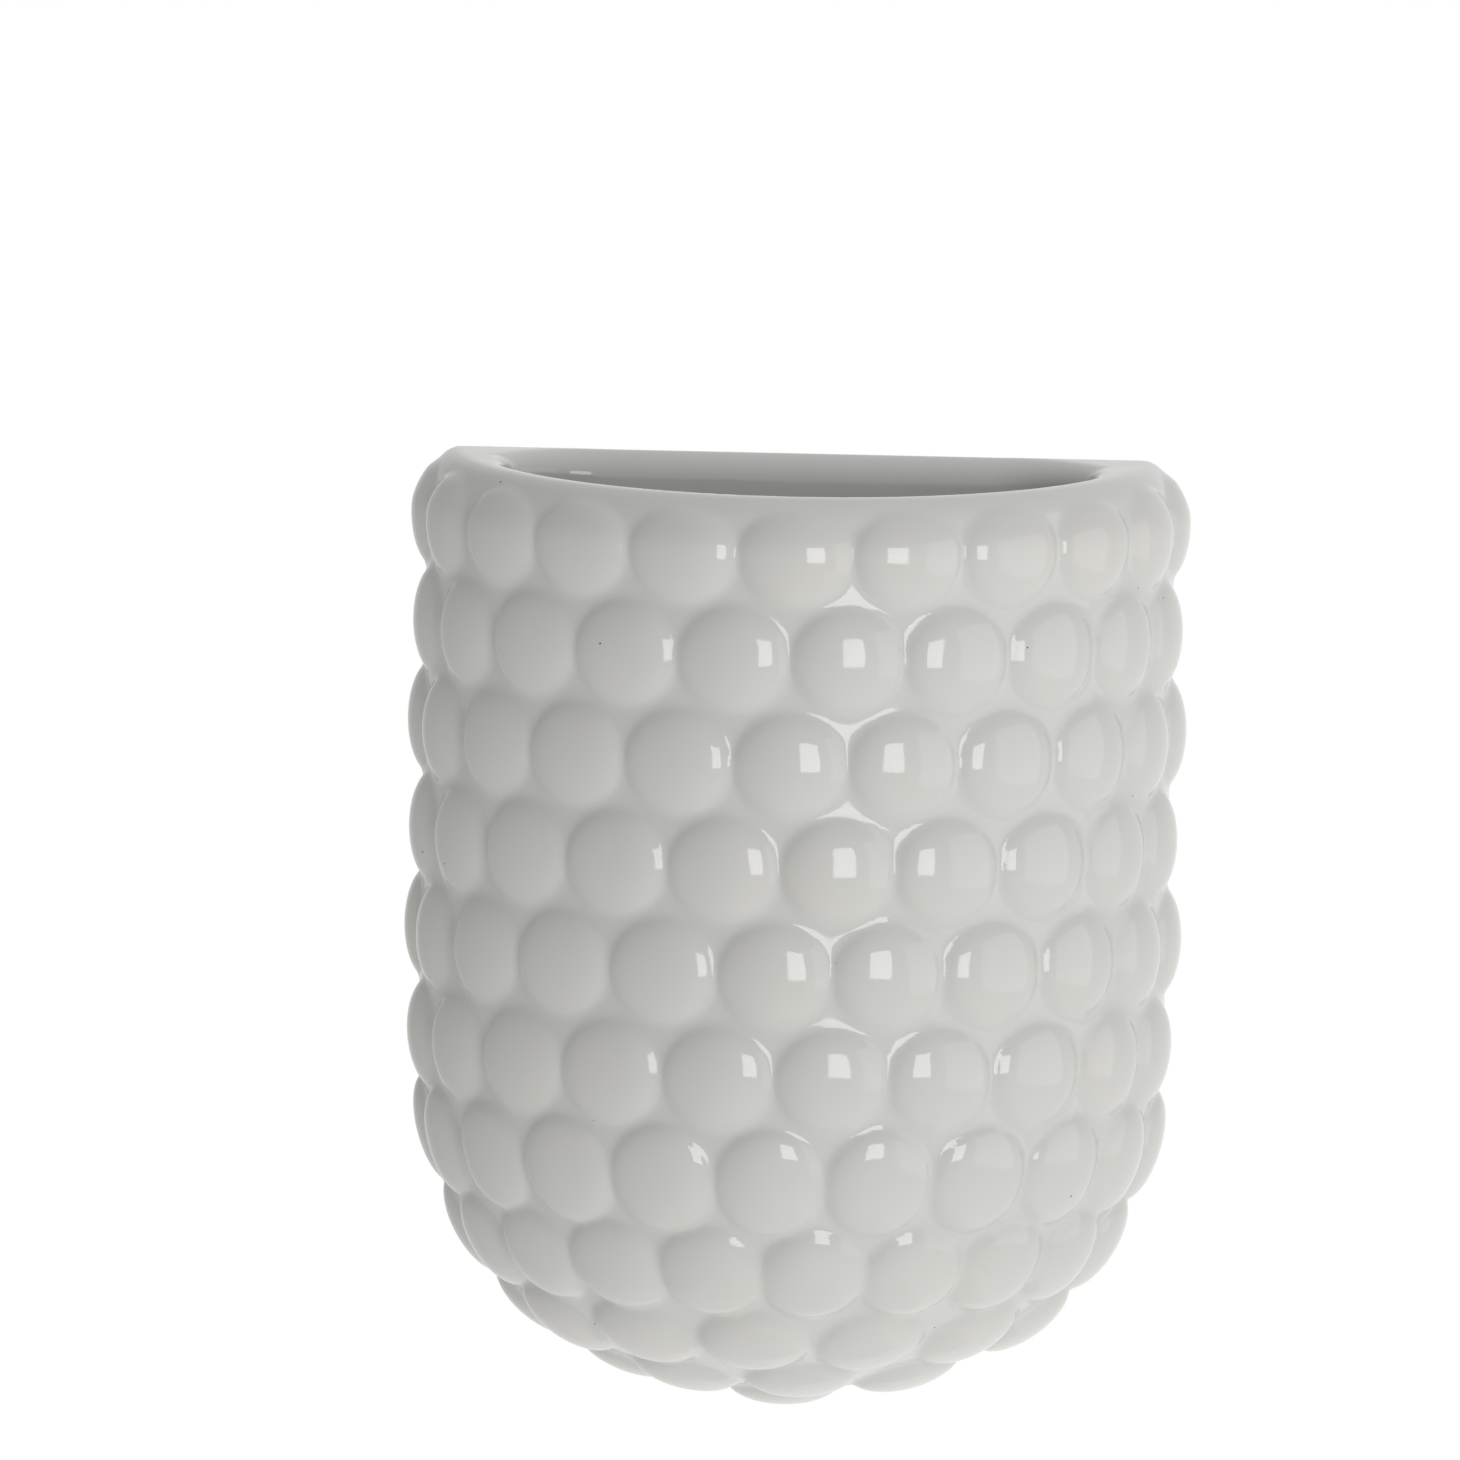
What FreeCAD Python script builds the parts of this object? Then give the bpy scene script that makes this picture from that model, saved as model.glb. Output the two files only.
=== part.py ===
import FreeCAD, Part
import math
import os

V = FreeCAD.Vector

# A half-round ceramic wall vase. Millimetres, +Z up, -Y out into the room.
# The origin is on the hanging screw's axis, on the wall's surface.

# Driving sizes of the ceramic body
BASE_RADIUS = 74.2            # floor between the bubbles, in plan
STRAIGHT_HEIGHT = 124.5       # rim down to where the wall starts to turn in
SHOULDER_SHARE = 0.81         # of the base radius: the profile's turn below the straight wall
BOTTOM_SHARE = 0.857          # of the base radius: depth of the rounded bottom
SHELL_WALL = 7.0
BACK_WALL = 7.0
RIM_OUTER_SHARE = 0.72        # of the shell's wall
RIM_INNER_SHARE = 0.25
BACK_EDGE_ROUND = 3.0
CAVITY_CORNER_ROUND = 13.0
CUT_OVERRUN = 5.0
SNAP = 0.001                  # how near counts as on a plane or a circle

# Bubbles: parts of a ball, standing out of the floor
BUBBLE_HEIGHT = 4.0
BUBBLE_TURN = 17.3            # degrees from one to the next, where the wall is straight
BUBBLE_RADIUS_SHARE = 0.604   # of the way from one to the next
BUBBLE_ROOT_DEPTH = 2.0       # how far each one reaches into the wall
FIRST_ROW_DROP = 12.7         # rim to the first row
POLE_GAP = 11.9               # last row to the lowest point, along the profile
# For each row: bubbles, degrees from one to the next, and how far the row has drifted in degrees
BUBBLE_ROWS = (
    (11, BUBBLE_TURN, 0.7), (10, BUBBLE_TURN, 0.2), (11, BUBBLE_TURN, 0.5), (10, BUBBLE_TURN, -0.8),
    (11, BUBBLE_TURN, -1.4), (10, BUBBLE_TURN, -1.1), (11, BUBBLE_TURN, -1.6), (10, 18.2, -3.0),
    (7, 26.8, -5.7), (4, 44.0, -15.3), (1, 0.0, 0.0),
)

# Keyhole in the back wall
KEYHOLE_BELOW_RIM = 27.0      # rim to the screw's axis, with the vase hanging
ENTRY_CLEARANCE = 1.0         # round the screw's head
SLOT_CLEARANCE = 0.4          # round the screw's neck
SLOT_RUN = 11.0               # entry's centre to the slot's upper centre
HANGING_GAP = 0.15            # slot's top over the screw

# Screw
SHANK_RADIUS = 2.2
HEAD_RADIUS = 4.25
HEAD_THICKNESS = 2.6
HEAD_ROUND = 1.4
HEAD_GAP = 0.3                # head to the inside of the back wall
RECESS_DEPTH = 1.5
RECESS_SPAN = 4.2
RECESS_WIDTH = 0.9
TIP_LENGTH = 4.0
TIP_RADIUS = 0.4
THREAD_GROWTH = 0.25          # crest over the core
THREAD_PITCH = 2.0

# Plug in the wall
PLUG_CLEARANCE = 0.05         # bore over the screw
PLUG_WALL = 0.75
PLUG_LENGTH = 30.0
PLUG_NOSE = 1.5
PLUG_NOSE_WALL = 0.25
PLUG_COLLAR_STEP = 1.2        # collar over the plug
PLUG_COLLAR_THICKNESS = 0.8
PLUG_SLIT_WIDTH = 0.9
PLUG_SLIT_LENGTH = 21.0
PLUG_TIP_GAP = 0.5            # screw's tip to the closed nose

# Bumpers on the back
BUMPER_RADIUS = 5.0
BUMPER_THICKNESS = 2.0
BUMPER_EDGE = 0.4
BUMPER_UPPER_X_SHARE = 0.78   # of the base radius
BUMPER_LOWER_X_SHARE = 0.50
BUMPER_UPPER_DROP = 13.0      # below the rim
BUMPER_LOWER_DROP_SHARE = 0.45  # of the base radius, below the ball's centre

# Worked out from the sizes above
BACK_Y = -BUMPER_THICKNESS
SEAM_Y = BACK_Y - BACK_WALL
RIM_Z = KEYHOLE_BELOW_RIM
BALL_Z = RIM_Z - STRAIGHT_HEIGHT
INNER_RADIUS = BASE_RADIUS - SHELL_WALL
SHOULDER_RADIUS = SHOULDER_SHARE * BASE_RADIUS
SHOULDER_X = BASE_RADIUS - SHOULDER_RADIUS
BOTTOM_DEPTH = BOTTOM_SHARE * BASE_RADIUS
POLE_RADIUS = (SHOULDER_X ** 2 + BOTTOM_DEPTH ** 2 - SHOULDER_RADIUS ** 2) / (2 * (BOTTOM_DEPTH - SHOULDER_RADIUS))
POLE_CENTRE_Z = BALL_Z - BOTTOM_DEPTH + POLE_RADIUS
SHOULDER_TURN = math.atan2(POLE_RADIUS - BOTTOM_DEPTH, SHOULDER_X)
SHOULDER_LENGTH = SHOULDER_RADIUS * SHOULDER_TURN
PROFILE_LENGTH = STRAIGHT_HEIGHT + SHOULDER_LENGTH + POLE_RADIUS * (math.pi / 2 - SHOULDER_TURN)
RIM_OUTER_ROUND = RIM_OUTER_SHARE * SHELL_WALL
RIM_INNER_ROUND = RIM_INNER_SHARE * SHELL_WALL
BUBBLE_RADIUS = BUBBLE_RADIUS_SHARE * BASE_RADIUS * math.radians(BUBBLE_TURN)
BUBBLE_DEPTH = BUBBLE_RADIUS - BUBBLE_HEIGHT    # centre below the floor
OUTER_RADIUS = BASE_RADIUS + BUBBLE_HEIGHT
ENTRY_RADIUS = HEAD_RADIUS + ENTRY_CLEARANCE
SLOT_RADIUS = SHANK_RADIUS + SLOT_CLEARANCE
SLOT_Z = SHANK_RADIUS + HANGING_GAP - SLOT_RADIUS
ENTRY_Z = SLOT_Z - SLOT_RUN
HEAD_Y = SEAM_Y - HEAD_GAP
PLUG_BORE_RADIUS = SHANK_RADIUS + PLUG_CLEARANCE
PLUG_RADIUS = PLUG_BORE_RADIUS + PLUG_WALL
PLUG_NOSE_RADIUS = PLUG_BORE_RADIUS + PLUG_NOSE_WALL
PLUG_COLLAR_RADIUS = PLUG_RADIUS + PLUG_COLLAR_STEP
SCREW_END_Y = PLUG_LENGTH - PLUG_TIP_GAP


def on_shoulder(radius, turn):
    return V(SHOULDER_X + radius * math.cos(turn), BACK_Y, BALL_Z - radius * math.sin(turn))


def on_pole(radius, turn):
    return V(radius * math.cos(turn), BACK_Y, POLE_CENTRE_Z - radius * math.sin(turn))


def revolved_half(radius, top_round, top):
    """Half round body about the vertical line through the back face: rounded below, straight above."""
    inset = BASE_RADIUS - radius
    shoulder_radius = SHOULDER_RADIUS - inset
    pole_radius = POLE_RADIUS - inset
    axis_top = V(0, BACK_Y, top)
    start = V(0, BACK_Y, POLE_CENTRE_Z - pole_radius)
    low = on_pole(pole_radius, (SHOULDER_TURN + math.pi / 2) / 2)
    joint = on_shoulder(shoulder_radius, SHOULDER_TURN)
    side = V(radius, BACK_Y, BALL_Z)
    edges = [Part.Arc(start, low, joint).toShape()]
    edges.append(Part.Arc(joint, on_shoulder(shoulder_radius, SHOULDER_TURN / 2), side).toShape())
    shoulder = V(radius, BACK_Y, top - top_round)
    edges.append(Part.LineSegment(side, shoulder).toShape())
    crest = shoulder
    if top_round > 0:
        lean = top_round * (1 - math.cos(math.pi / 4))
        rise = top_round * math.sin(math.pi / 4)
        crest = V(radius - top_round, BACK_Y, top)
        middle = V(radius - lean, BACK_Y, top - top_round + rise)
        edges.append(Part.Arc(shoulder, middle, crest).toShape())
    edges.append(Part.LineSegment(crest, axis_top).toShape())
    edges.append(Part.LineSegment(axis_top, start).toShape())
    face = Part.Face(Part.Wire(edges))
    return face.revolve(V(0, BACK_Y, 0), V(0, 0, 1), -180)


def on_back_plane(edge, y):
    box = edge.BoundBox
    return abs(box.YMin - y) < SNAP and abs(box.YMax - y) < SNAP


def base_body():
    """Plain outer form, with its back edges rounded all the way round."""
    body = revolved_half(BASE_RADIUS, RIM_OUTER_ROUND, RIM_Z)
    edges = [edge for edge in body.Edges if on_back_plane(edge, BACK_Y)]
    return body.makeFillet(BACK_EDGE_ROUND, edges)


def profile_place(along):
    """Distance from the axis, height and downward lean of the floor, so far along it from the rim."""
    turned = along - STRAIGHT_HEIGHT
    if turned < 0:
        return BASE_RADIUS, RIM_Z - along, 0
    if turned < SHOULDER_LENGTH:
        lean = turned / SHOULDER_RADIUS
        point = on_shoulder(SHOULDER_RADIUS, lean)
    else:
        lean = SHOULDER_TURN + (turned - SHOULDER_LENGTH) / POLE_RADIUS
        point = on_pole(POLE_RADIUS, lean)
    return point.x, point.z, lean


def row_places():
    """Centre and outward direction of every bubble."""
    pitch = (PROFILE_LENGTH - FIRST_ROW_DROP - POLE_GAP) / (len(BUBBLE_ROWS) - 1)
    places = []
    for index, (count, spacing, drift) in enumerate(BUBBLE_ROWS):
        away, height, lean = profile_place(FIRST_ROW_DROP + index * pitch)
        for number in range(count):
            turn = math.radians((number - (count - 1) / 2) * spacing + drift)
            out = V(math.sin(turn) * math.cos(lean), -math.cos(turn) * math.cos(lean), -math.sin(lean))
            floor = V(away * math.sin(turn), BACK_Y - away * math.cos(turn), height)
            places.append((floor - out * BUBBLE_DEPTH, out))
    return places


def bubbles():
    root = BUBBLE_DEPTH - BUBBLE_ROOT_DEPTH
    latitude = math.degrees(math.asin(root / BUBBLE_RADIUS))
    return [Part.makeSphere(BUBBLE_RADIUS, centre, out, latitude, 90, 360) for centre, out in row_places()]


def behind(y):
    """Everything further back than y."""
    size = 4 * (OUTER_RADIUS + STRAIGHT_HEIGHT)
    return Part.makeBox(size, size, size, V(-size / 2, y, -size / 2))


def cavity():
    """Inside of the vase: rounded where the shell meets the back wall."""
    inside = revolved_half(INNER_RADIUS, 0, RIM_Z + CUT_OVERRUN).cut(behind(SEAM_Y))
    top = RIM_Z + CUT_OVERRUN
    edges = [edge for edge in inside.Edges
             if on_back_plane(edge, SEAM_Y) and edge.BoundBox.ZMin < top - CUT_OVERRUN]
    return inside.makeFillet(CAVITY_CORNER_ROUND, edges)


def rim_inner_edges(shell):
    found = []
    for edge in shell.Edges:
        box = edge.BoundBox
        flat = abs(box.ZMin - RIM_Z) < SNAP and abs(box.ZMax - RIM_Z) < SNAP
        middle = edge.valueAt((edge.FirstParameter + edge.LastParameter) / 2)
        reach = math.hypot(middle.x, middle.y - BACK_Y)
        if flat and reach < INNER_RADIUS + SNAP and middle.y < SEAM_Y - SNAP:
            found.append(edge)
    return found


def front_shell(base):
    """The bubbled shell, in front of the seam with the back wall."""
    shell = base.cut(behind(SEAM_Y)).cut(cavity())
    shell = shell.makeFillet(RIM_INNER_ROUND, rim_inner_edges(shell))
    return shell.multiFuse(bubbles()).cut(behind(SEAM_Y))


def inner_rim_cutter(reach):
    """Bar that leaves a quarter round along the back wall's inner top edge."""
    corner = V(-reach, SEAM_Y, RIM_Z)
    down = V(0, 0, -RIM_INNER_ROUND)
    back = V(0, RIM_INNER_ROUND, 0)
    centre = corner + down + back
    diagonal = RIM_INNER_ROUND * math.sin(math.pi / 4)
    middle = centre + V(0, -diagonal, diagonal)
    edges = [Part.LineSegment(corner, corner + down).toShape(),
             Part.Arc(corner + down, middle, corner + back).toShape(),
             Part.LineSegment(corner + back, corner).toShape()]
    return Part.Face(Part.Wire(edges)).extrude(V(2 * reach, 0, 0))


def keyhole():
    depth = BACK_WALL + 2 * CUT_OVERRUN
    near = SEAM_Y - CUT_OVERRUN
    entry = Part.makeCylinder(ENTRY_RADIUS, depth, V(0, near, ENTRY_Z), V(0, 1, 0))
    top = Part.makeCylinder(SLOT_RADIUS, depth, V(0, near, SLOT_Z), V(0, 1, 0))
    slot = Part.makeBox(2 * SLOT_RADIUS, depth, SLOT_RUN, V(-SLOT_RADIUS, near, ENTRY_Z))
    return entry.fuse(slot).fuse(top)


def back_wall(base):
    """Slab behind the seam, with the keyhole through it and the rest of the outermost bubbles."""
    outermost = [bubble for bubble in bubbles() if bubble.BoundBox.YMax > SEAM_Y]
    slab = base.multiFuse(outermost).common(behind(SEAM_Y)).cut(behind(BACK_Y)).cut(keyhole())
    offset = BACK_WALL + CAVITY_CORNER_ROUND
    reach = math.sqrt((INNER_RADIUS - CAVITY_CORNER_ROUND) ** 2 - offset ** 2)
    return slab.cut(inner_rim_cutter(reach))


def hanging_screw():
    """Pan head screw lying along Y, head towards the room, with a coarse thread in the plug."""
    head = Part.makeCylinder(HEAD_RADIUS, HEAD_THICKNESS, V(0, HEAD_Y - HEAD_THICKNESS, 0), V(0, 1, 0))
    crown = [edge for edge in head.Edges if on_back_plane(edge, HEAD_Y - HEAD_THICKNESS)]
    head = head.makeFillet(HEAD_ROUND, crown)
    for span_x, span_z in ((RECESS_SPAN, RECESS_WIDTH), (RECESS_WIDTH, RECESS_SPAN)):
        corner = V(-span_x / 2, HEAD_Y - HEAD_THICKNESS, -span_z / 2)
        head = head.cut(Part.makeBox(span_x, RECESS_DEPTH, span_z, corner))
    neck = Part.makeCylinder(SHANK_RADIUS, -HEAD_Y, V(0, HEAD_Y, 0), V(0, 1, 0))
    core_radius = SHANK_RADIUS - THREAD_GROWTH
    points = [V(0, 0, 0), V(0, 0, core_radius)]
    turns = int((SCREW_END_Y - TIP_LENGTH) / THREAD_PITCH)
    for turn in range(turns):
        points.append(V(0, (turn + 1 / 2) * THREAD_PITCH, SHANK_RADIUS))
        points.append(V(0, (turn + 1) * THREAD_PITCH, core_radius))
    points.append(V(0, SCREW_END_Y, TIP_RADIUS))
    points.append(V(0, SCREW_END_Y, 0))
    thread = Part.Face(Part.makePolygon(points + points[:1])).revolve(V(0, 0, 0), V(0, 1, 0), 360)
    return head.fuse(neck).fuse(thread)


def wall_plug():
    body = Part.makeCylinder(PLUG_RADIUS, PLUG_LENGTH, V(0, 0, 0), V(0, 1, 0))
    nose = Part.makeCone(PLUG_RADIUS, PLUG_NOSE_RADIUS, PLUG_NOSE, V(0, PLUG_LENGTH, 0), V(0, 1, 0))
    collar = Part.makeCylinder(PLUG_COLLAR_RADIUS, PLUG_COLLAR_THICKNESS,
                               V(0, -PLUG_COLLAR_THICKNESS, 0), V(0, 1, 0))
    plug = body.fuse(nose).fuse(collar)
    bore = Part.makeCylinder(PLUG_BORE_RADIUS, PLUG_LENGTH + PLUG_COLLAR_THICKNESS,
                             V(0, -PLUG_COLLAR_THICKNESS, 0), V(0, 1, 0))
    slit = Part.makeBox(2 * PLUG_RADIUS, PLUG_SLIT_LENGTH + PLUG_NOSE, PLUG_SLIT_WIDTH,
                        V(-PLUG_RADIUS, PLUG_LENGTH - PLUG_SLIT_LENGTH, -PLUG_SLIT_WIDTH / 2))
    return plug.cut(bore).cut(slit)


def bumper(x, z):
    disc = Part.makeCylinder(BUMPER_RADIUS, BUMPER_THICKNESS, V(x, BACK_Y, z), V(0, 1, 0))
    edge = [edge for edge in disc.Edges if on_back_plane(edge, 0)]
    return disc.makeFillet(BUMPER_EDGE, edge)


def bumpers():
    upper_x = BUMPER_UPPER_X_SHARE * BASE_RADIUS
    lower_x = BUMPER_LOWER_X_SHARE * BASE_RADIUS
    upper_z = RIM_Z - BUMPER_UPPER_DROP
    lower_z = BALL_Z - BUMPER_LOWER_DROP_SHARE * BASE_RADIUS
    return {
        "bumper_upper_left": bumper(-upper_x, upper_z),
        "bumper_upper_right": bumper(upper_x, upper_z),
        "bumper_lower_left": bumper(-lower_x, lower_z),
        "bumper_lower_right": bumper(lower_x, lower_z),
    }


def main():
    base = base_body()
    nodes = {
        "front_shell": front_shell(base),
        "back_wall": back_wall(base),
        "hanging_screw": hanging_screw(),
        "wall_plug": wall_plug(),
    }
    nodes.update(bumpers())
    os.makedirs("parts", exist_ok=True)
    for name, shape in nodes.items():
        shape.exportStep("parts/" + name + ".step")
        box = shape.BoundBox
        print(name, "solids", len(shape.Solids), "valid", shape.isValid(), "volume", round(shape.Volume, 1),
              "x", round(box.XMin, 2), round(box.XMax, 2), "y", round(box.YMin, 2), round(box.YMax, 2),
              "z", round(box.ZMin, 2), round(box.ZMax, 2))


main()
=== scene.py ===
import math

import bpy
import numpy as np
from mathutils import Matrix, Vector


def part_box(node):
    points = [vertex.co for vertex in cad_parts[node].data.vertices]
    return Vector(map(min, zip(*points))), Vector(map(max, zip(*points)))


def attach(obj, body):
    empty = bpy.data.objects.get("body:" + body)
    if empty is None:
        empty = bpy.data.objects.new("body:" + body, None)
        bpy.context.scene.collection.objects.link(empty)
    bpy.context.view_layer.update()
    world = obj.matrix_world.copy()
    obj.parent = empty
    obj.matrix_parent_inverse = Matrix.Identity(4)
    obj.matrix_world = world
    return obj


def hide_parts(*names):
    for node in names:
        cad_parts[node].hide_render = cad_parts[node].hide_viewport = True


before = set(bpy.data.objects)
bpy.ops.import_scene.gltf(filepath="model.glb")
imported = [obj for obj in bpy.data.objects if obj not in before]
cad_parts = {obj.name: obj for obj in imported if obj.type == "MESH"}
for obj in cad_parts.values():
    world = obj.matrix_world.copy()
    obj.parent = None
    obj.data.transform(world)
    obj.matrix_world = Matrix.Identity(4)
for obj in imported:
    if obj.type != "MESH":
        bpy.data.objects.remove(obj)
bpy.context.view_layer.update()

MM = 0.001

# The ceramic body, in millimetres, in the frame: -Y out into the room, +Z up
WALL_LOW, WALL_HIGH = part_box("back_wall")
RIM_Z = WALL_HIGH.z / MM
BACK_Y = WALL_HIGH.y / MM
SEAM_Y = WALL_LOW.y / MM
BASE_RADIUS = 74.2
SHELL_WALL = 7.0
INNER_RADIUS = BASE_RADIUS - SHELL_WALL

# Profile of the wall: straight down, then an arc at the shoulder and a flatter one at the pole
STRAIGHT_HEIGHT = 124.5
SHOULDER_SHARE = 0.81      # of the base radius
BOTTOM_SHARE = 0.857       # of the base radius
BEND_Z = RIM_Z - STRAIGHT_HEIGHT
SHOULDER_RADIUS = SHOULDER_SHARE * BASE_RADIUS
SHOULDER_X = BASE_RADIUS - SHOULDER_RADIUS
BOTTOM_DEPTH = BOTTOM_SHARE * BASE_RADIUS
POLE_RADIUS = ((SHOULDER_X ** 2 + BOTTOM_DEPTH ** 2 - SHOULDER_RADIUS ** 2)
               / (2 * (BOTTOM_DEPTH - SHOULDER_RADIUS)))
POLE_CENTRE_Z = BEND_Z - BOTTOM_DEPTH + POLE_RADIUS
SHOULDER_TURN = math.atan2(POLE_RADIUS - BOTTOM_DEPTH, SHOULDER_X)
SHOULDER_LENGTH = SHOULDER_RADIUS * SHOULDER_TURN
PROFILE_LENGTH = STRAIGHT_HEIGHT + SHOULDER_LENGTH + POLE_RADIUS * (math.pi / 2 - SHOULDER_TURN)

# Bubbles: the outer parts of flattened balls, set in rows
BUBBLE_HEIGHT = 4.0
OUTER_RADIUS = BASE_RADIUS + BUBBLE_HEIGHT
BUBBLE_RADIUS = 11.6       # of the ball, along the wall
BUBBLE_THROW = 5.3         # of the ball, out of the wall
BUBBLE_DEPTH = BUBBLE_THROW - BUBBLE_HEIGHT
BUBBLE_ROOT_DEPTH = 2.0
BUBBLE_RIM_GAP = 1.2
BUBBLE_TOP_ROUND = 3.5
BUBBLE_TURN = 17.3
FIRST_ROW_DROP = 12.7      # along the wall, from the rim
POLE_GAP = 11.9            # along the wall, from the last row to the pole

# Each row: how many, the degrees from one to the next, and the degrees that the row is turned to the right
BUBBLE_ROWS = (
    (11, BUBBLE_TURN, 0.7), (10, BUBBLE_TURN, 0.2), (11, BUBBLE_TURN, 0.5), (10, BUBBLE_TURN, -0.8),
    (11, BUBBLE_TURN, -1.4), (10, BUBBLE_TURN, -1.1), (11, BUBBLE_TURN, -1.6), (10, 18.2, -3.0),
    (7, 26.8, -5.7), (4, 44.0, -15.3), (1, 0.0, 0.0),
)

# Skin, where wall, bubbles, rim, cavity and keyhole meet
WALL_RISE = 0.8            # of the wall between the bubbles
VALLEY_BLEND = 0.8
VALLEY_FLOOR = -0.3        # above the wall, where the glaze is thickest and its painted light strongest
VALLEY_RISE = 1.6          # from there up to where it is thin and has no painted light
RIM_OUTER_ROUND = 5.0
RIM_INNER_ROUND = 1.9
RIM_BACK_ROUND = 5.4
RIM_BACK_LEAD = 2          # wall thicknesses from the seam to where the rim's edge starts to grow rounder
BACK_EDGE_ROUND = 3.0
CAVITY_CORNER_ROUND = 13.0
RIM_CORNER_ROUND = 28.0
LIP_REACH = 30.0
KEYHOLE_EDGE_ROUND = 0.7
ENTRY_RADIUS = 5.25
ENTRY_Z = -11.25
SLOT_RADIUS = 2.6
SLOT_Z = -0.25

# Forming by hand: shares of the size, and how far up and down they reach
GLAZED_SIZE = 0.9994
RIM_DRAW_IN = 0.025
RIM_EASE = 12.0
RIM_DIP = 2.0
WAIST_DRAW_IN = 0.024
WAIST_Z = -120.0
WAIST_REACH = 40.0

# Mesh
GRID_STEP = 0.9
GRID_MARGIN = 2            # steps round the body
BUBBLE_MARGIN = 4          # steps round a bubble
SETTLE_STEPS = 3
SETTLE_REACH = GRID_STEP / 4
SLOPE_NUDGE = 0.02
LEAST_SLOPE = 1e-4         # at a bubble's centre
LEAST_SLOPE_SQUARE = 0.25


def profile_place(along):
    """Distance from the axis, height and downward lean of the wall, so far along it from the rim."""
    turned = along - STRAIGHT_HEIGHT
    if turned < 0:
        return BASE_RADIUS, RIM_Z - along, 0
    if turned < SHOULDER_LENGTH:
        lean = turned / SHOULDER_RADIUS
        return (SHOULDER_X + SHOULDER_RADIUS * math.cos(lean),
                BEND_Z - SHOULDER_RADIUS * math.sin(lean), lean)
    lean = SHOULDER_TURN + (turned - SHOULDER_LENGTH) / POLE_RADIUS
    return POLE_RADIUS * math.cos(lean), POLE_CENTRE_Z - POLE_RADIUS * math.sin(lean), lean


def bubble_places():
    """Centre of every bubble and the way out of the wall there."""
    pitch = (PROFILE_LENGTH - FIRST_ROW_DROP - POLE_GAP) / (len(BUBBLE_ROWS) - 1)
    places = []
    for index, (count, spacing, drift) in enumerate(BUBBLE_ROWS):
        away, height, lean = profile_place(FIRST_ROW_DROP + index * pitch)
        away -= BUBBLE_DEPTH * math.cos(lean)
        height += BUBBLE_DEPTH * math.sin(lean)
        for number in range(count):
            turn = math.radians((number - (count - 1) / 2) * spacing + drift)
            centre = (away * math.sin(turn), BACK_Y - away * math.cos(turn), height)
            outward = (math.sin(turn) * math.cos(lean), -math.cos(turn) * math.cos(lean), -math.sin(lean))
            places.append((centre, outward))
    return np.array(places, np.float32)


BUBBLES = bubble_places()


# Signed distances, in millimetres: negative inside

def capsule(points, radius):
    """Round column about the vertical line through the back face, with a rounded bottom."""
    x, y, z = points
    inset = BASE_RADIUS - radius
    away = np.hypot(x, y - BACK_Y)
    drop = np.maximum(BEND_Z - z, 0)
    shoulder = np.hypot(away - SHOULDER_X, drop) - (SHOULDER_RADIUS - inset)
    pole = np.hypot(away, POLE_CENTRE_Z - z) - (POLE_RADIUS - inset)
    on_shoulder = (away - SHOULDER_X) * math.sin(SHOULDER_TURN) > drop * math.cos(SHOULDER_TURN)
    wall = np.where(on_shoulder, shoulder, pole)
    return np.where(drop > 0, wall, away - radius)


def blend_union(first, second, width):
    """The nearer of two distances, with a hollow where they meet."""
    share = np.maximum(width - np.abs(first - second), 0) / width
    return np.minimum(first, second) - share * share * width / 4


def round_overlap(first, second, radius):
    """Inside both, with the edge between them rounded."""
    a = np.maximum(first + radius, 0)
    b = np.maximum(second + radius, 0)
    return np.minimum(np.maximum(first, second), -radius) + np.sqrt(a * a + b * b)


def eased(value):
    """Smooth step from 0 to 1 as value goes from 0 to 1."""
    t = np.clip(value, 0, 1)
    return t * t * (3 - 2 * t)


def cavity(points):
    """Space inside, with corners that close in towards the rim."""
    near_rim = eased((points[2] - RIM_Z + LIP_REACH) / LIP_REACH)
    corner = CAVITY_CORNER_ROUND + (RIM_CORNER_ROUND - CAVITY_CORNER_ROUND) * near_rim
    return round_overlap(capsule(points, INNER_RADIUS), points[1] - SEAM_Y, corner)


def keyhole(points):
    """Entry circle and slot, cut from the back to just inside the cavity."""
    x, y, z = points
    entry = np.hypot(x, z - ENTRY_Z) - ENTRY_RADIUS
    reach = np.clip(z, ENTRY_Z, SLOT_Z)
    slot = np.hypot(x, z - reach) - SLOT_RADIUS
    return np.maximum(np.minimum(entry, slot), SEAM_Y - SHELL_WALL - y)


def ceramic(points, bubbles):
    """The whole ceramic body, given the distance to its bubbles."""
    column = capsule(points, BASE_RADIUS + WALL_RISE)
    base = round_overlap(column, points[2] - RIM_Z, RIM_OUTER_ROUND)
    caps = np.maximum(bubbles, -BUBBLE_ROOT_DEPTH - column)
    caps = round_overlap(caps, points[2] - RIM_Z + BUBBLE_RIM_GAP, BUBBLE_TOP_ROUND)
    skin = blend_union(base, caps, VALLEY_BLEND)
    body = round_overlap(skin, points[1] - BACK_Y, BACK_EDGE_ROUND)
    at_back = eased((points[1] - SEAM_Y) / SHELL_WALL + RIM_BACK_LEAD)
    inner_round = RIM_INNER_ROUND + (RIM_BACK_ROUND - RIM_INNER_ROUND) * at_back
    body = round_overlap(body, -cavity(points), inner_round)
    return round_overlap(body, -keyhole(points), KEYHOLE_EDGE_ROUND)


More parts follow.
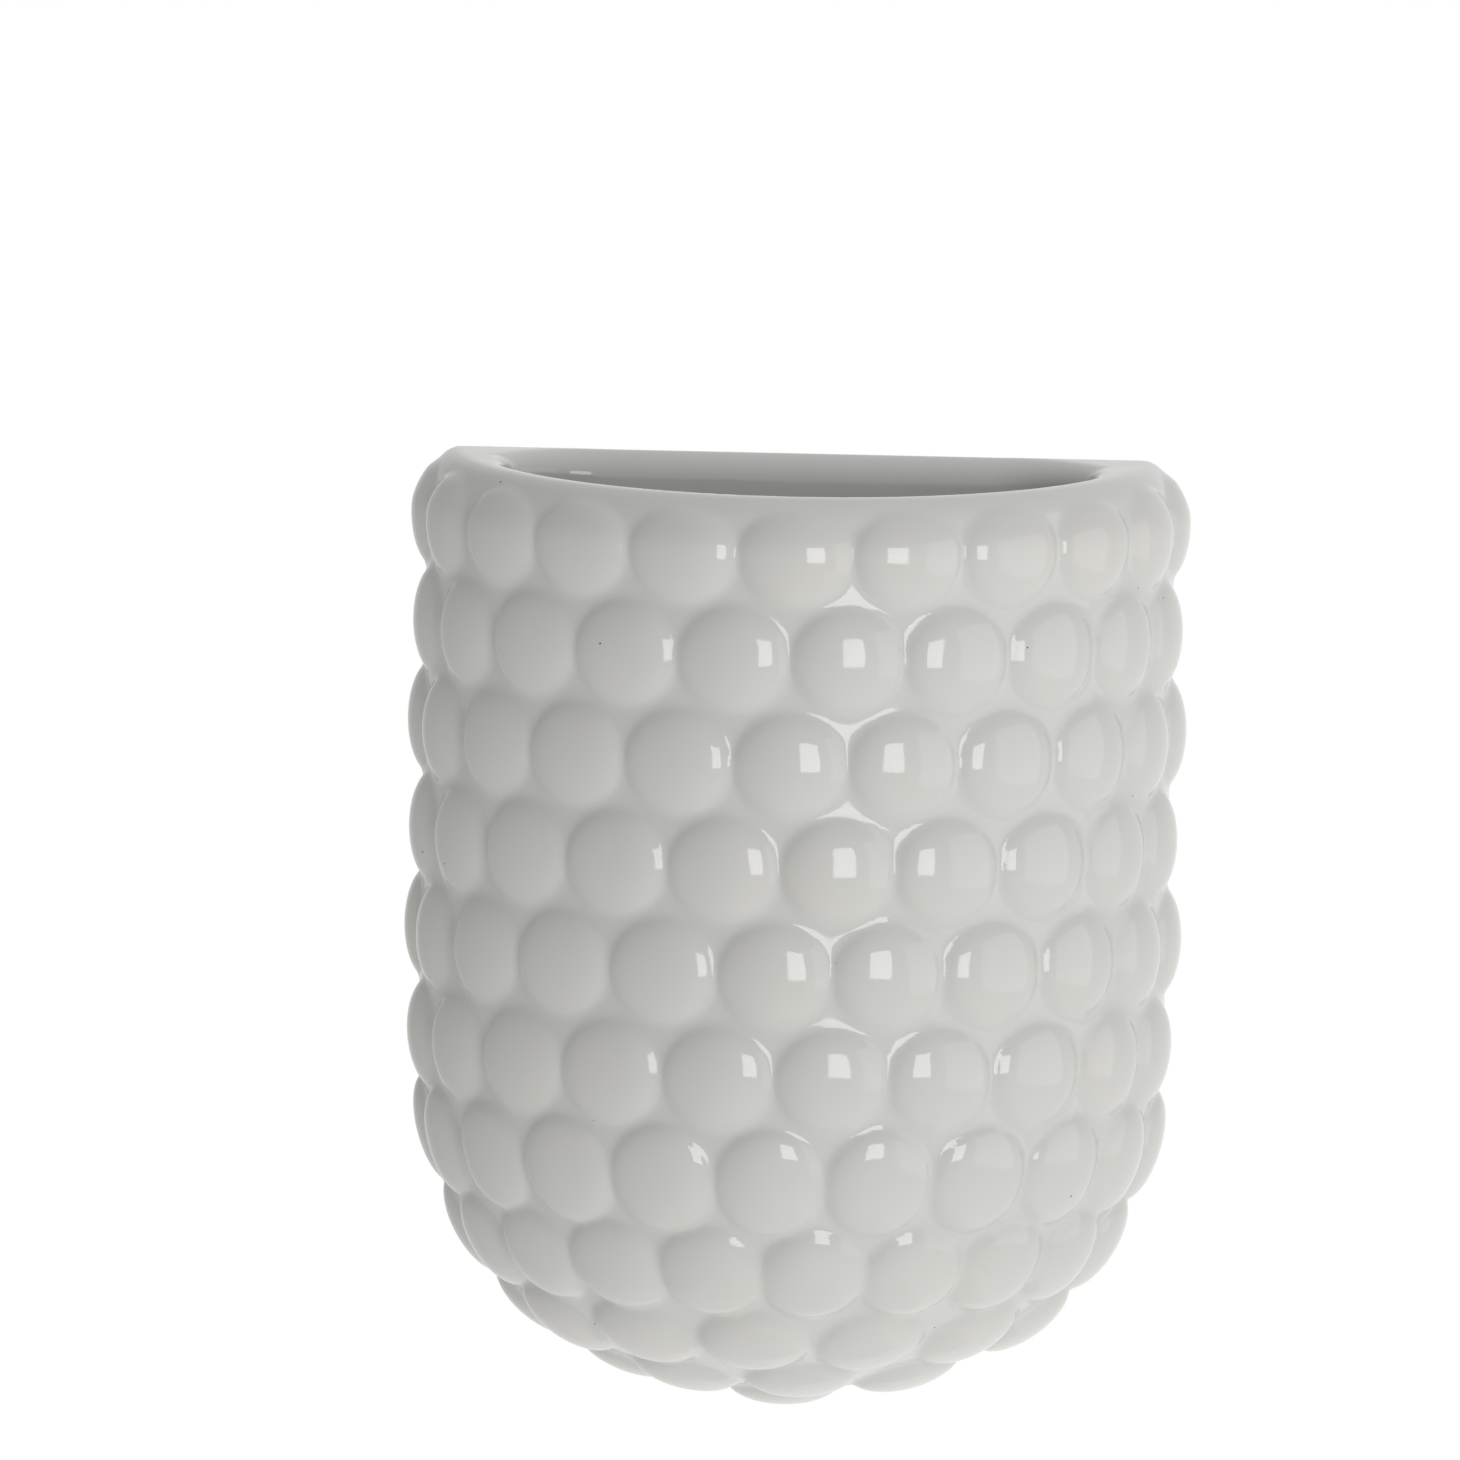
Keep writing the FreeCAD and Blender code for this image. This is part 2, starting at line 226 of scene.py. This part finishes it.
def bubble(points, centre, outward):
    """Distance to the flattened ball that one bubble is the outer part of."""
    x, y, z = (p - c for p, c in zip(points, centre))
    out = (x * outward[0] + y * outward[1] + z * outward[2]) ** 2
    along = x * x + y * y + z * z - out
    wide = np.float32(BUBBLE_RADIUS ** -2)
    thin = np.float32(BUBBLE_THROW ** -2)
    share = np.sqrt(along * wide + out * thin)
    slope = np.sqrt(along * wide * wide + out * thin * thin) + np.float32(LEAST_SLOPE)
    return share * (share - 1) / slope


def bubbles_at(points):
    """Distance to the nearest bubbles for loose points, with a hollow between them."""
    joined = np.full(points[0].shape, VALLEY_BLEND, np.float32)
    for centre, outward in BUBBLES:
        near = np.abs(points[2] - centre[2]) < BUBBLE_RADIUS + VALLEY_BLEND
        some = [p[near] for p in points]
        joined[near] = blend_union(joined[near], bubble(some, centre, outward), VALLEY_BLEND)
    return joined


def grid_axes():
    """Places of the grid's planes along x, y and z."""
    low = np.array([-OUTER_RADIUS, BACK_Y - OUTER_RADIUS, BEND_Z - OUTER_RADIUS]) - GRID_MARGIN * GRID_STEP
    high = np.array([OUTER_RADIUS, BACK_Y, RIM_Z]) + GRID_MARGIN * GRID_STEP
    counts = np.ceil((high - low) / GRID_STEP).astype(int) + 1
    return [(low[i] + GRID_STEP * np.arange(counts[i])).astype(np.float32) for i in range(3)]


def bubble_field(axes):
    """Distance to the nearest bubbles on the grid, worked out only close to each."""
    far = np.float32(BUBBLE_MARGIN * GRID_STEP + VALLEY_BLEND)
    field = np.full([len(a) for a in axes], far, np.float32)
    reach = BUBBLE_RADIUS + far
    for centre, outward in BUBBLES:
        spans = tuple(slice(np.searchsorted(a, c - reach), np.searchsorted(a, c + reach))
                      for a, c in zip(axes, centre))
        close = np.meshgrid(*(a[span] for a, span in zip(axes, spans)), indexing="ij", sparse=True)
        field[spans] = blend_union(field[spans], bubble(close, centre, outward), VALLEY_BLEND)
    return field


def crossings(field, inside, axis):
    """Grid edges along one axis that cross the surface, where they cross it and which end is inside."""
    low = [slice(None)] * 3
    high = [slice(None)] * 3
    low[axis] = slice(0, -1)
    high[axis] = slice(1, None)
    low = tuple(low)
    high = tuple(high)
    edges = np.argwhere(inside[low] != inside[high])
    first = field[low][tuple(edges.T)]
    second = field[high][tuple(edges.T)]
    places = edges.astype(np.float32)
    places[:, axis] += first / (first - second)
    return edges, places, inside[low][tuple(edges.T)]


def surface_net(field, axes):
    """Quads round the surface where field changes sign: one point in each grid cell that it crosses."""
    inside = field < 0
    cells = [n - 1 for n in field.shape]
    count = np.zeros(cells[0] * cells[1] * cells[2], np.float32)
    total = [np.zeros_like(count) for _ in range(3)]
    quads = []
    for axis in range(3):
        edges, places, leaving = crossings(field, inside, axis)
        one, two = [(1, 2), (2, 0), (0, 1)][axis]
        corners = []
        for a, b in ((-1, -1), (0, -1), (0, 0), (-1, 0)):
            cell = edges.copy()
            cell[:, one] += a
            cell[:, two] += b
            index = np.ravel_multi_index(tuple(cell.T), cells)
            count += np.bincount(index, minlength=len(count))
            for i in range(3):
                total[i] += np.bincount(index, places[:, i], minlength=len(count))
            corners.append(index)
        corners = np.stack(corners, 1)
        quads.append(np.where(leaving[:, None], corners, corners[:, ::-1]))
    used = np.flatnonzero(count)
    number = np.zeros(len(count), np.int32)
    number[used] = np.arange(len(used))
    points = [axes[i][0] + np.float32(GRID_STEP) * (total[i][used] / count[used]) for i in range(3)]
    return points, number[np.concatenate(quads)]


def settle(points):
    """Moves loose points onto the surface, along its slope."""
    nudge = np.float32(SLOPE_NUDGE)
    furthest = np.float32(SETTLE_REACH)
    for _ in range(SETTLE_STEPS):
        here = ceramic(points, bubbles_at(points))
        slope = []
        for axis in range(3):
            moved = list(points)
            moved[axis] = points[axis] + nudge
            slope.append((ceramic(moved, bubbles_at(moved)) - here) / nudge)
        size = np.maximum(sum(s * s for s in slope), LEAST_SLOPE_SQUARE)
        move = np.clip(here / size, -furthest, furthest)
        points = [p - move * s for p, s in zip(points, slope)]
    return points


def hand_formed(points):
    """Draws the rim in and dips its front, and takes in the wall a little above the rounded bottom."""
    x, y, z = points
    rim = eased((z - RIM_Z + RIM_EASE) / RIM_EASE)
    waist = eased(1 - np.abs(z - WAIST_Z) / WAIST_REACH)
    scale = GLAZED_SIZE - RIM_DRAW_IN * rim - WAIST_DRAW_IN * waist
    forward = np.maximum(BACK_Y - y, 0) / BASE_RADIUS
    height = RIM_Z + (z - RIM_Z) * GLAZED_SIZE - RIM_DIP * forward * rim
    return [x * scale, BACK_Y + (y - BACK_Y) * scale, height]


def new_mesh(name, points, faces, depth):
    """Smooth mesh, which keeps how deep in a valley between bubbles each point lies."""
    mesh = bpy.data.meshes.new(name)
    mesh.vertices.add(len(points))
    mesh.vertices.foreach_set("co", np.asarray(points, np.float32).ravel())
    mesh.loops.add(faces.size)
    mesh.loops.foreach_set("vertex_index", faces.astype(np.int32).ravel())
    mesh.polygons.add(len(faces))
    mesh.polygons.foreach_set("loop_start", np.arange(len(faces), dtype=np.int32) * faces.shape[1])
    mesh.polygons.foreach_set("use_smooth", np.ones(len(faces), bool))
    mesh.update(calc_edges=True)
    mesh.attributes.new("valley", "FLOAT", "POINT").data.foreach_set("value", depth.astype(np.float32))
    obj = bpy.data.objects.new(name, mesh)
    bpy.context.scene.collection.objects.link(obj)
    return obj


def make_vase():
    """The ceramic body as one mesh."""
    axes = grid_axes()
    mesh_points = np.meshgrid(*axes, indexing="ij", sparse=True)
    field = ceramic(mesh_points, bubble_field(axes))
    points, quads = surface_net(field, axes)
    points = settle(points)
    above = capsule(points, BASE_RADIUS + WALL_RISE)
    valley = np.clip(1 - (above - VALLEY_FLOOR) / VALLEY_RISE, 0, 1)
    return new_mesh("vase", np.stack(hand_formed(points), 1) * MM, quads, valley)


vase = make_vase()
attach(vase, "vase")
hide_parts("front_shell", "back_wall")


class NodeTree:
    """The nodes of one material or world. A socket takes a plain value or another node's output."""

    def __init__(self, owner):
        owner.use_nodes = True
        self.owner = owner
        self.nodes = owner.node_tree.nodes
        self.links = owner.node_tree.links

    def put(self, socket, value):
        if isinstance(value, bpy.types.NodeSocket):
            self.links.new(value, socket)
        else:
            socket.default_value = value

    def add(self, kind, inputs=None):
        """New node, with what goes into each named or numbered input."""
        node = self.nodes.new("ShaderNode" + kind)
        for name, value in (inputs or {}).items():
            self.put(node.inputs[name], value)
        return node

    def combined(self, operation, first, second):
        node = self.add("Math", {0: first, 1: second})
        node.operation = operation
        return node.outputs[0]

    def spread(self, value, low, high, start=0.0, end=1.0):
        """Maps value from low..high to start..end."""
        node = self.add("MapRange", {
            "Value": value, "From Min": low, "From Max": high, "To Min": start, "To Max": end,
        })
        return node.outputs["Result"]

    def mixed(self, share, first, second):
        """Colour between first and second."""
        node = self.nodes.new("ShaderNodeMix")
        node.data_type = "RGBA"
        self.put(node.inputs["Factor"], share)
        for name, colour in (("A", first), ("B", second)):
            socket = next(i for i in node.inputs if i.name == name and i.type == "RGBA")
            self.put(socket, (*colour, 1) if isinstance(colour, tuple) else colour)
        return next(o for o in node.outputs if o.type == "RGBA")

    def mixed_shaders(self, share, first, second):
        return self.add("MixShader", {0: share, 1: first, 2: second}).outputs[0]

    def white_light(self, strength):
        return self.add("Background", {"Color": (1, 1, 1, 1), "Strength": strength}).outputs[0]


class Material(NodeTree):
    """Material with one Principled shader, and textures in metres on the object."""

    def __init__(self, name):
        super().__init__(bpy.data.materials.new(name))
        self.shader = self.nodes["Principled BSDF"].inputs
        self.place = self.add("TexCoord").outputs["Object"]

    def set(self, name, value):
        """Puts a value or an output into one of the shader's inputs."""
        self.put(self.shader[name], value)

    def noise(self, scale, detail=2.0):
        """Noise at so many features to the metre."""
        node = self.add("TexNoise", {"Vector": self.place, "Scale": scale, "Detail": detail})
        return node.outputs["Fac"]

    def cloud(self, scale, detail, low, high, start=0.0, end=1.0):
        """Noise whose values from low to high are spread to start..end."""
        return self.spread(self.noise(scale, detail), low, high, start, end)

    def bump(self, height, depth, strength=1.0):
        """Relief of so many metres."""
        node = self.add("Bump", {"Height": height, "Distance": depth, "Strength": strength})
        self.set("Normal", node.outputs[0])

    def soften(self, weight, reach):
        """Lets light through the skin, as far as each colour reaches in metres."""
        self.set("Subsurface Weight", weight)
        self.set("Subsurface Radius", reach)


# Colours
GLAZE_COLOUR = (0.588, 0.587, 0.563)
GLAZE_WARM = (0.600, 0.592, 0.563)
# Glaze pooled in the valleys: a little bluer, and a little lighter as painted light against the shade there
GLAZE_POOLED_PAINTED_LIGHTER = (0.588, 0.593, 0.576)
CLAY_SPECK = (0.060, 0.052, 0.042)
ZINC_DARK = (0.50, 0.50, 0.47)
ZINC_LIGHT = (0.66, 0.65, 0.60)
NYLON_DARK = (0.27, 0.27, 0.26)
NYLON_LIGHT = (0.33, 0.33, 0.32)
PAD_CLEAN = (0.58, 0.58, 0.56)
PAD_DUSTY = (0.50, 0.49, 0.46)

PINHOLE_CELLS = 190.0      # to the metre
PINHOLE_SIZE = 0.055       # of a cell
PINHOLE_CORE = 0.6         # of a speck, where it is darkest
PINHOLE_SHARE = 0.16       # of the cells
PINHOLE_FADE = 0.01


def pinholes(material):
    """Sparse dark specks of the clay body in the glaze: 1 in a speck, else 0."""
    cells = material.add("TexVoronoi", {"Vector": material.place, "Scale": PINHOLE_CELLS}).outputs
    near = material.spread(cells["Distance"], PINHOLE_SIZE, PINHOLE_SIZE * PINHOLE_CORE)
    chosen = material.add("SeparateColor", {"Color": cells["Color"]}).outputs["Red"]
    few = material.spread(chosen, 1 - PINHOLE_SHARE, 1 - PINHOLE_SHARE + PINHOLE_FADE)
    return material.combined("MULTIPLY", near, few)


def glaze():
    """Glossy off-white glaze over light clay, thicker and a little bluer in the valleys, where it is also
    painted a little lighter against their shade.
    """
    material = Material("white_glaze")
    cloud = material.cloud(scale=22, detail=3, low=0.3, high=0.7)
    colour = material.mixed(cloud, GLAZE_COLOUR, GLAZE_WARM)
    valley = material.add("Attribute")
    valley.attribute_name = "valley"
    uneven = material.cloud(scale=60, detail=2, low=0.2, high=0.8, start=0.6)
    # In the valleys: thicker, bluer glaze, and painted light that offsets their shade
    pooled_painted_lighter = material.combined("MULTIPLY", valley.outputs["Fac"], uneven)
    colour = material.mixed(pooled_painted_lighter, colour, GLAZE_POOLED_PAINTED_LIGHTER)
    material.set("Base Color", material.mixed(pinholes(material), colour, CLAY_SPECK))
    material.set("Roughness", material.cloud(scale=140, detail=2, low=0.3, high=0.7, start=0.05, end=0.1))
    material.bump(material.noise(scale=55, detail=1), depth=0.0003)
    return material.owner


def zinc():
    """Zinc-plated steel with fine turning marks round the screw's axis."""
    material = Material("zinc_plated_steel")
    material.set("Metallic", 1)
    tint = material.cloud(scale=420, detail=4, low=0.35, high=0.65)
    material.set("Base Color", material.mixed(tint, ZINC_DARK, ZINC_LIGHT))
    rings = material.add("TexWave", {"Vector": material.place, "Scale": 900, "Distortion": 1.5})
    rings.wave_type = "RINGS"
    rings.rings_direction = "Y"
    marks = rings.outputs["Fac"]
    material.set("Roughness", material.spread(marks, low=0, high=1, start=0.24, end=0.4))
    material.bump(marks, depth=0.00001, strength=0.6)
    return material.owner


def nylon():
    """Grey moulded nylon."""
    material = Material("grey_nylon")
    cloud = material.cloud(scale=160, detail=3, low=0.3, high=0.7)
    material.set("Base Color", material.mixed(cloud, NYLON_DARK, NYLON_LIGHT))
    material.set("Roughness", 0.45)
    material.soften(weight=0.1, reach=(0.001, 0.001, 0.001))
    material.bump(material.noise(scale=2600), depth=0.00003)
    return material.owner


def soft_pad():
    """Milky soft polyurethane with a fine skin and a little dust."""
    material = Material("soft_pad")
    dust = material.cloud(scale=700, detail=5, low=0.45, high=0.75)
    material.set("Base Color", material.mixed(dust, PAD_CLEAN, PAD_DUSTY))
    material.set("Roughness", 0.5)
    material.soften(weight=0.25, reach=(0.0015, 0.0015, 0.0012))
    material.bump(material.noise(scale=1800, detail=3), depth=0.00004)
    return material.owner


def dress(name, material):
    """Gives a CAD piece its material."""
    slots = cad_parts[name].material_slots
    for slot in slots:
        slot.material = material
    if not slots:
        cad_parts[name].data.materials.append(material)


vase.data.materials.append(glaze())
dress("hanging_screw", zinc())
dress("wall_plug", nylon())
pad = soft_pad()
for name in ("bumper_upper_left", "bumper_upper_right", "bumper_lower_left", "bumper_lower_right"):
    dress(name, pad)


def direction(azimuth, elevation):
    """Way from the vase, in degrees to the right of straight ahead and above level."""
    a = math.radians(azimuth)
    e = math.radians(elevation)
    return Vector((math.sin(a) * math.cos(e), -math.cos(a) * math.cos(e), math.sin(e)))


# Camera, at the photograph's angle, in degrees, metres and the photograph's pixels
PHOTO_SIZE = 1460
CAMERA_AZIMUTH = 1.5
CAMERA_ELEVATION = 6.9
CAMERA_ROLL = 1.09
CAMERA_DISTANCE = 3.75
CAMERA_REACH = 50.0
CAMERA_LENS = 461.0
SENSOR = 36.0
THIRD_ROW_DROP = 54.9      # millimetres below the rim
THIRD_ROW = Vector((0, BACK_Y * MM, (RIM_Z - THIRD_ROW_DROP) * MM))
THIRD_ROW_PIXEL = (797.3, 723.4)


def make_camera():
    """Camera that shows the middle of the third row, in the plane of the vase's back, at its pixel."""
    outward = direction(CAMERA_AZIMUTH, CAMERA_ELEVATION)
    place = THIRD_ROW + outward * CAMERA_DISTANCE
    right = (-outward).cross(Vector((0, 0, 1))).normalized()
    up = right.cross(-outward)
    roll = math.radians(CAMERA_ROLL)
    turned_right = right * math.cos(roll) + up * math.sin(roll)
    turned_up = up * math.cos(roll) - right * math.sin(roll)
    focal = CAMERA_LENS / SENSOR * PHOTO_SIZE
    off_x = (THIRD_ROW_PIXEL[0] - PHOTO_SIZE / 2) / focal
    off_y = (PHOTO_SIZE / 2 - THIRD_ROW_PIXEL[1]) / focal
    forward = (-outward - turned_right * off_x - turned_up * off_y).normalized()
    side = forward.cross(turned_up).normalized()
    top = side.cross(forward)
    camera = bpy.data.objects.new("camera", bpy.data.cameras.new("camera"))
    camera.data.lens = CAMERA_LENS
    camera.data.sensor_width = SENSOR
    camera.data.clip_end = CAMERA_REACH
    camera.matrix_world = Matrix((
        (side.x, top.x, -forward.x, place.x),
        (side.y, top.y, -forward.y, place.y),
        (side.z, top.z, -forward.z, place.z),
        (0, 0, 0, 1),
    ))
    bpy.context.scene.collection.objects.link(camera)
    bpy.context.scene.camera = camera


make_camera()

# Lamps and world, in metres. A strength or radiance of 1 is white
VASE_MIDDLE = Vector((0, -0.035, -0.07))
AMBIENT = 0.10
SKY_GLOW = 0.92
GROUND_GLOW = 1.74
BACK_GLOW = 0.74
LEFT_REFLECTION = 0.4
LEFT_FADE_FROM = -0.6
LEFT_FADE_TO = 0.1


def softbox(name, azimuth, elevation, distance, width, height, radiance):
    """Rectangular lamp that faces the vase."""
    lamp = bpy.data.lights.new(name, "AREA")
    lamp.shape = "RECTANGLE"
    lamp.size = width
    lamp.size_y = height
    lamp.energy = radiance * width * height * math.pi
    obj = bpy.data.objects.new(name, lamp)
    toward = direction(azimuth, elevation)
    obj.location = VASE_MIDDLE + toward * distance
    obj.rotation_euler = toward.to_track_quat("Z", "Y").to_euler()
    bpy.context.scene.collection.objects.link(obj)


def studio():
    """White seen directly, a dimmer left side in reflections, and a softer level that lights the object."""
    tree = NodeTree(bpy.data.worlds.new("studio"))
    aim = tree.add("SeparateXYZ", {0: tree.add("TexCoord").outputs["Generated"]}).outputs
    path = tree.add("LightPath").outputs
    sky = tree.spread(aim["Z"], low=0, high=1, start=0, end=SKY_GLOW)
    ground = tree.spread(aim["Z"], low=0, high=-1, start=AMBIENT, end=AMBIENT + GROUND_GLOW)
    behind = tree.spread(aim["Y"], low=0, high=1, start=0, end=BACK_GLOW)
    level = tree.combined("MAXIMUM", tree.combined("MAXIMUM", sky, ground), behind)
    mirrored = tree.spread(aim["X"], LEFT_FADE_FROM, LEFT_FADE_TO, start=LEFT_REFLECTION, end=1)
    bounced = tree.combined("MAXIMUM", path["Is Glossy Ray"], path["Is Transmission Ray"])
    unseen = tree.mixed_shaders(bounced, tree.white_light(level), tree.white_light(mirrored))
    everything = tree.mixed_shaders(path["Is Camera Ray"], unseen, tree.white_light(1))
    tree.put(tree.nodes["World Output"].inputs["Surface"], everything)
    bpy.context.scene.world = tree.owner


softbox("key", azimuth=20, elevation=6, distance=1.2, width=0.43, height=0.58, radiance=4.7)
softbox("right_fill", azimuth=75, elevation=5, distance=1.4, width=1.5, height=1.3, radiance=0.74)
studio()

FLOOR_SIZE = 1.0
FLOOR_Z = -1.20
FLOOR_COLOUR = (0.9, 0.9, 0.9, 1)


def floor():
    """Plain pale floor well below the hanging vase."""
    half = FLOOR_SIZE / 2
    corners = [(-half, -half, 0), (half, -half, 0), (half, half, 0), (-half, half, 0)]
    mesh = bpy.data.meshes.new("floor")
    mesh.from_pydata(corners, [], [(0, 1, 2, 3)])
    obj = bpy.data.objects.new("floor", mesh)
    obj.location = (0, 0, FLOOR_Z)
    bpy.context.scene.collection.objects.link(obj)
    material = Material("floor")
    material.set("Base Color", FLOOR_COLOUR)
    material.set("Roughness", 0.6)
    mesh.materials.append(material.owner)


floor()

bpy.context.scene.view_settings.view_transform = "Standard"
